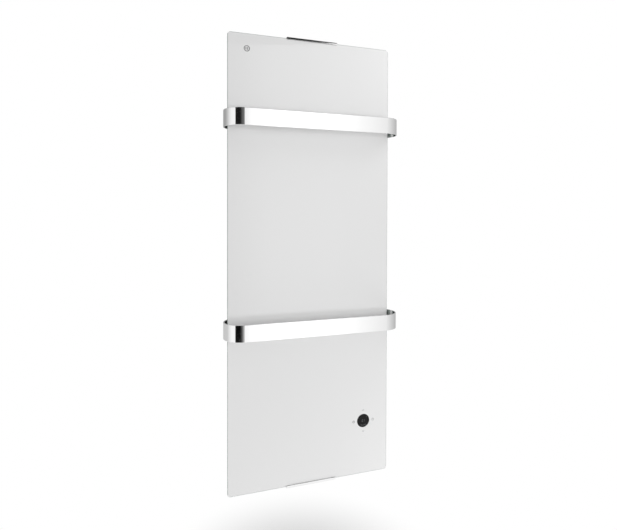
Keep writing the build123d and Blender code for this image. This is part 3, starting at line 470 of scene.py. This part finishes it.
def speckled_colour(name, light, dark, roughness=0.4):
    """A speckled colour between two close tones, like a screen print: printing ink, and the display's painted
    light.
    """
    material, tree, shader = new_material(name, Roughness=roughness)
    place = add(tree, "TexCoord")
    speck = add(tree, "TexNoise", {"Vector": place.outputs["Object"], "Scale": 1 / (0.3 * MM)})
    colour = add(tree, "MixRGB", {"Fac": speck.outputs["Fac"], "Color1": linear(dark),
                                  "Color2": linear(light)})
    tree.links.new(colour.outputs[0], shader.inputs["Base Color"])
    return material


def arc(bm, radius, width, start, end, steps=24):
    """A flat arc band in the XY plane, between two angles in degrees, 0 along +X."""
    toward = Vector((cos(radians(start)), sin(radians(start)), 0))
    a, b = (bm.verts.new(toward * (radius + side * width / 2)) for side in (-1, 1))
    edge = bm.edges.new((a, b))
    bmesh.ops.spin(bm, geom=[a, b, edge], cent=(0, 0, 0), axis=(0, 0, 1), dvec=(0, 0, 0),
                   angle=radians(end - start), steps=steps, use_duplicate=False)


def bar(bm, start, end, width):
    """A flat straight stroke between two points in the XY plane."""
    start, end = Vector((*start, 0)), Vector((*end, 0))
    along = end - start
    turn = Matrix.Rotation(along.xy.angle_signed(Vector((1, 0))), 4, "Z")
    size = Matrix.Diagonal((along.length, width, 1, 1))
    bmesh.ops.create_grid(bm, x_segments=1, y_segments=1, size=0.5,
                          matrix=Matrix.Translation((start + end) / 2) @ turn @ size)


def mark(name, bm, place, material, body="heater", turn=facing_front):
    """Gives flat faces the thickness of ink and lays them where they belong."""
    bmesh.ops.remove_doubles(bm, verts=bm.verts, dist=0.001 * MM)
    bmesh.ops.recalc_face_normals(bm, faces=bm.faces)
    made = bmesh.ops.extrude_face_region(bm, geom=bm.faces[:])
    lifted = [v for v in made["geom"] if isinstance(v, bmesh.types.BMVert)]
    bmesh.ops.translate(bm, vec=(0, 0, ink_thickness), verts=lifted)
    bmesh.ops.recalc_face_normals(bm, faces=bm.faces)
    bmesh.ops.transform(bm, matrix=Matrix.Translation(place) @ turn, verts=bm.verts)
    piece = link_mesh(name, bm, material)
    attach(piece, body)
    return piece


dark_ink = speckled_colour("black_screen_print", "#202122", "#18191A")
grey_ink = speckled_colour("grey_screen_print", "#7C7E7F", "#727475")

sign = bmesh.new()
arc(sign, 5.8 * MM, 1.3 * MM, 0, 360, 48)
for x in (-1.9, 1.9):
    bar(sign, (x * MM, -3.0 * MM), (x * MM, 3.0 * MM), 1.4 * MM)
sign_from_side, sign_from_top = 41.5 * MM, 32.4 * MM
sign_place = (glass_low.x + sign_from_side, glass_front, glass_high.z - sign_from_top)
mark("warmth_sign", sign, sign_place, dark_ink)
print("sign at", [round(v / MM, 1) for v in sign_place])

# %% Key signs round the display
key_distance = 24.7 * MM
front_of_glass = Vector((lens_middle.x, glass_front, lens_middle.z))

power = bmesh.new()
arc(power, 2.4 * MM, 0.8 * MM, 120, 420)
bar(power, (0, 0.4 * MM), (0, 3.1 * MM), 0.8 * MM)
mark("power_sign", power, front_of_glass + Vector((-key_distance, 0, 0)), dark_ink)

warmer = bmesh.new()
bar(warmer, (-2.1 * MM, -1.1 * MM), (0, 1.4 * MM), 0.8 * MM)
bar(warmer, (2.1 * MM, -1.1 * MM), (0, 1.4 * MM), 0.8 * MM)
mark("warmer_sign", warmer, front_of_glass + Vector((0, 0, key_distance)), grey_ink)

cooler = bmesh.new()
bar(cooler, (-2.1 * MM, 1.1 * MM), (0, -1.4 * MM), 0.8 * MM)
bar(cooler, (2.1 * MM, 1.1 * MM), (0, -1.4 * MM), 0.8 * MM)
mark("cooler_sign", cooler, front_of_glass + Vector((0, 0, -key_distance)), grey_ink)

clock = bmesh.new()
arc(clock, 2.5 * MM, 0.7 * MM, 0, 360, 32)
bar(clock, (0, 0), (0, 1.7 * MM), 0.6 * MM)
bar(clock, (0, 0), (1.4 * MM, 0), 0.6 * MM)
mark("timer_sign", clock, front_of_glass + Vector((key_distance, 0, 0)), grey_ink)
print("key signs: 4")

# %% [markdown]
# ## What the display shows
#
# The display is lit through the lens: two digits of seven straight strokes each, with a short gap between
# the strokes, and a row of small dashes under them. They are dim, as they are in daylight. Their light is
# painted as a grey colour, with no emission.

# %% Digits and dashes in the lens
digit_width, digit_height, digit_stroke = 2.6 * MM, 5.2 * MM, 0.8 * MM
lit_strokes = {"1": "bc", "2": "abged"}


def digit(bm, middle_x, shape):
    """One digit of straight strokes, centred at a place along X."""
    w, h, gap = digit_width / 2, digit_height / 2, digit_stroke * 0.6
    ends = {"a": ((-w + gap, h), (w - gap, h)), "g": ((-w + gap, 0), (w - gap, 0)),
            "d": ((-w + gap, -h), (w - gap, -h)), "b": ((w, gap), (w, h - gap)),
            "c": ((w, gap - h), (w, -gap)), "e": ((-w, gap - h), (-w, -gap)), "f": ((-w, gap), (-w, h - gap))}
    for stroke in lit_strokes[shape]:
        start, end = ends[stroke]
        bar(bm, (start[0] + middle_x, start[1]), (end[0] + middle_x, end[1]), digit_stroke)


# Painted light: the lit segments' glow is a flat grey colour, with no emission.
dim_light = speckled_colour("dim_display_segments", "#6C6E70", "#626466", 0.3)
shown = bmesh.new()
for middle_x, shape in ((-2.1 * MM, "2"), (2.1 * MM, "1")):
    digit(shown, middle_x, shape)
dash_half_angle = 4
for angle in (240, 255, 270, 285, 300):
    arc(shown, 11.0 * MM, 1.5 * MM, angle - dash_half_angle, angle + dash_half_angle, 4)
mark("display_figures", shown, front_of_glass, dim_light)

# %% [markdown]
# ## Marks on the switch
#
# The rocker is moulded with the two signs that every mains switch has: a stroke for on and a ring for off.
# Its face is a shallow V. The upper half stands proud while the switch is off, and the lower half is flush.

# %% Rocker marks
rocker_tilt, rocker_crest, sign_from_crest = 9, 2.2 * MM, 4.2 * MM
hinge = Vector((160.5, -40.0, -535.0)) * MM
facing_right = Matrix(((0, 0, 1), (1, 0, 0), (0, 1, 0))).to_4x4()
lean = Matrix.Rotation(radians(2 * rocker_tilt), 4, "Y")
crest = hinge + Matrix.Rotation(radians(rocker_tilt), 4, "Y") @ Vector((rocker_crest, 0, 0))
white_ink = speckled_colour("white_pad_print", "#E2E2DE", "#D8D8D4")

stroke_on = bmesh.new()
bar(stroke_on, (0, -1.3 * MM), (0, 1.3 * MM), 0.6 * MM)
on_place = crest + lean @ Vector((0, 0, sign_from_crest))
mark("on_sign", stroke_on, on_place, white_ink, "rocker", turn=lean @ facing_right)

ring_off = bmesh.new()
arc(ring_off, 1.3 * MM, 0.5 * MM, 0, 360, 32)
mark("off_sign", ring_off, crest - Vector((0, 0, sign_from_crest)), white_ink, "rocker", turn=facing_right)
print("rocker signs at", crest)
